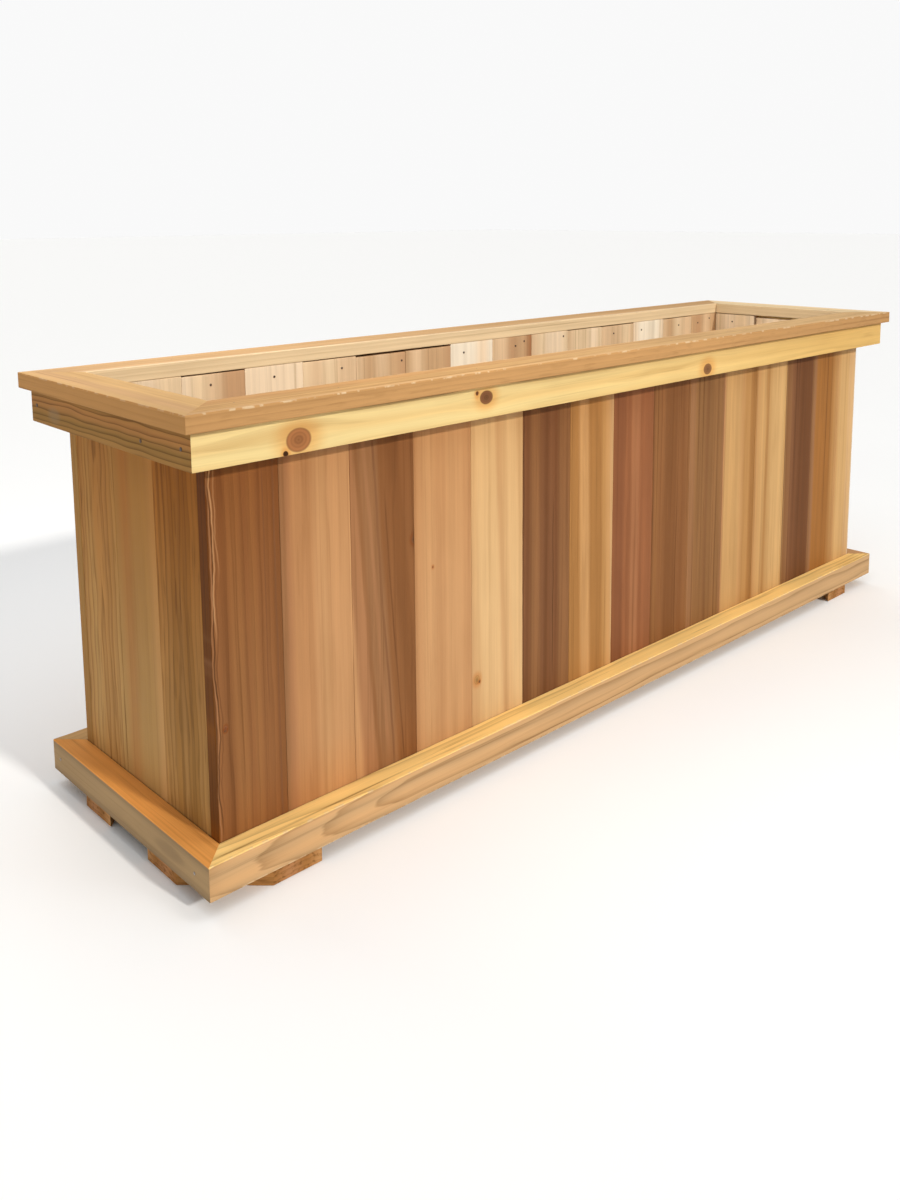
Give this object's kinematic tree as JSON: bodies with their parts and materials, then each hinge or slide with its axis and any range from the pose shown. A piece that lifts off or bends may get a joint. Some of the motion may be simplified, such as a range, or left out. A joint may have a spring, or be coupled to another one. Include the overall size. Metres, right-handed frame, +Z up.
{
  "type": "raised trough planter",
  "caption": "Long cedar trough planter of butted upright boards between two mitred rails, with a mitred cap and corner feet.",
  "frame": {"origin": "middle of the trough's footprint, on the ground under the feet", "axes": "+X along the trough to the right as seen from the front, +Y from front to back, +Z up"},
  "size_m": [1.3776, 0.3772, 0.4976],
  "materials": {
    "russet": "dry sawn cedar, red-brown heartwood with dark streaks",
    "tan": "dry sawn cedar, light pinkish tan",
    "straw": "dry sawn cedar, pale straw sapwood",
    "umber": "dry sawn cedar, dark purplish brown heartwood",
    "gold": "dry sawn cedar, golden with paler stripes",
    "brown": "dry sawn cedar, mid brown",
    "amber": "dry sawn cedar, orange-brown",
    "cream": "dry sawn cedar, cream sapwood",
    "rose": "dry sawn cedar, pinkish tan",
    "rail_pale": "dry sawn softwood, pale yellow with round knots",
    "rail_tan": "dry sawn cedar, tan with arched grain",
    "rail_brown": "dry sawn cedar, brown with strong wavy grain",
    "rail_grey": "dry sawn cedar, greyish brown",
    "cap": "dry sawn cedar, golden peach with worn bright edges",
    "offcut": "rough sawn cedar with open end grain"
  },
  "bodies": {
    "root": {"front_board_01": "russet", "front_board_02": "tan", "front_board_03": "russet", "front_board_04": "tan", "front_board_05": "straw", "front_board_06": "umber", "front_board_07": "gold", "front_board_08": "russet", "front_board_09": "brown", "front_board_10": "brown", "front_board_11": "straw", "front_board_12": "straw", "front_board_13": "umber", "front_board_14": "amber", "front_board_15": "tan", "back_board_01": "straw", "back_board_02": "cream", "back_board_03": "rose", "back_board_04": "straw", "back_board_05": "tan", "back_board_06": "rose", "back_board_07": "tan", "back_board_08": "cream", "back_board_09": "rose", "back_board_10": "straw", "back_board_11": "straw", "back_board_12": "tan", "back_board_13": "cream", "back_board_14": "rose", "back_board_15": "tan", "left_end_board_1": "brown", "left_end_board_2": "tan", "left_end_board_3": "brown", "right_end_board_1": "tan", "right_end_board_2": "rose", "right_end_board_3": "rose", "base_trim_front": "rail_tan", "base_trim_back": "rail_tan", "base_trim_left": "rail_grey", "base_trim_right": "rail_tan", "fascia_front": "rail_pale", "fascia_back": "rail_tan", "fascia_left": "rail_brown", "fascia_right": "rail_pale", "cap_front": "cap", "cap_back": "cap", "cap_left": "cap", "cap_right": "cap", "foot_front_left": "offcut", "foot_front_right": "offcut", "foot_back_left": "offcut", "foot_back_right": "offcut", "floor_cleat_front": "offcut", "floor_cleat_back": "offcut", "floor_bearer_1": "offcut", "floor_bearer_2": "offcut", "floor_bearer_3": "offcut", "floor_board_1": "tan", "floor_board_2": "straw", "floor_board_3": "brown"}
  },
  "joints": []
}
